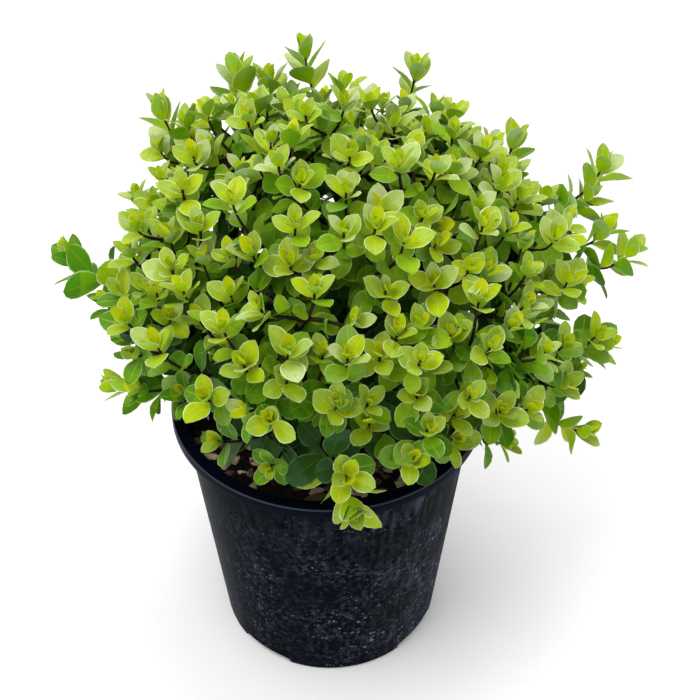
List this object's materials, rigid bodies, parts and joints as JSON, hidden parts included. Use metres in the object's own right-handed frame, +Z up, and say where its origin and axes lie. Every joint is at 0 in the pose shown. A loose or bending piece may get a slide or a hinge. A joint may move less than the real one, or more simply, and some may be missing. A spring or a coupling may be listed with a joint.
{
  "type": "potted evergreen shrub",
  "caption": "Small dense dome-shaped evergreen shrub with rosettes of lime-green leaves on dark twigs, in a round tapered nursery pot.",
  "frame": {"origin": "middle of the pot's flat underside, which stands on the floor", "axes": "+Z up along the pot's axis, -Y towards the picture's camera, +X to the picture's right"},
  "size_m": [0.3715, 0.303, 0.4111],
  "materials": {
    "pot_plastic": "dusty satin black",
    "bark_mix": "rough moist bark",
    "dark_bark": "rough bark",
    "leaf_green": "satin leaf"
  },
  "bodies": {
    "root": {"pot": "pot_plastic", "potting_mix": "bark_mix", "trunk": "dark_bark", "bough_top_right": "dark_bark", "bough_top_left": "dark_bark", "bough_top_front": "dark_bark", "bough_right": "dark_bark", "bough_back_right": "dark_bark", "bough_back_left": "dark_bark", "bough_left": "dark_bark", "bough_front_left": "dark_bark", "bough_front_right": "dark_bark", "bough_skirt_right": "dark_bark", "bough_skirt_back_right": "dark_bark", "bough_skirt_back": "dark_bark", "bough_skirt_back_left": "dark_bark", "bough_skirt_left": "dark_bark", "bough_skirt_front_left": "dark_bark", "bough_skirt_front_right": "dark_bark", "foliage_top_right": "leaf_green", "foliage_top_left": "leaf_green", "foliage_top_front": "leaf_green", "foliage_right": "leaf_green", "foliage_back_right": "leaf_green", "foliage_back_left": "leaf_green", "foliage_left": "leaf_green", "foliage_front_left": "leaf_green", "foliage_front_right": "leaf_green", "foliage_skirt_right": "leaf_green", "foliage_skirt_back_right": "leaf_green", "foliage_skirt_back": "leaf_green", "foliage_skirt_back_left": "leaf_green", "foliage_skirt_left": "leaf_green", "foliage_skirt_front_left": "leaf_green", "foliage_skirt_front_right": "leaf_green"}
  },
  "joints": []
}
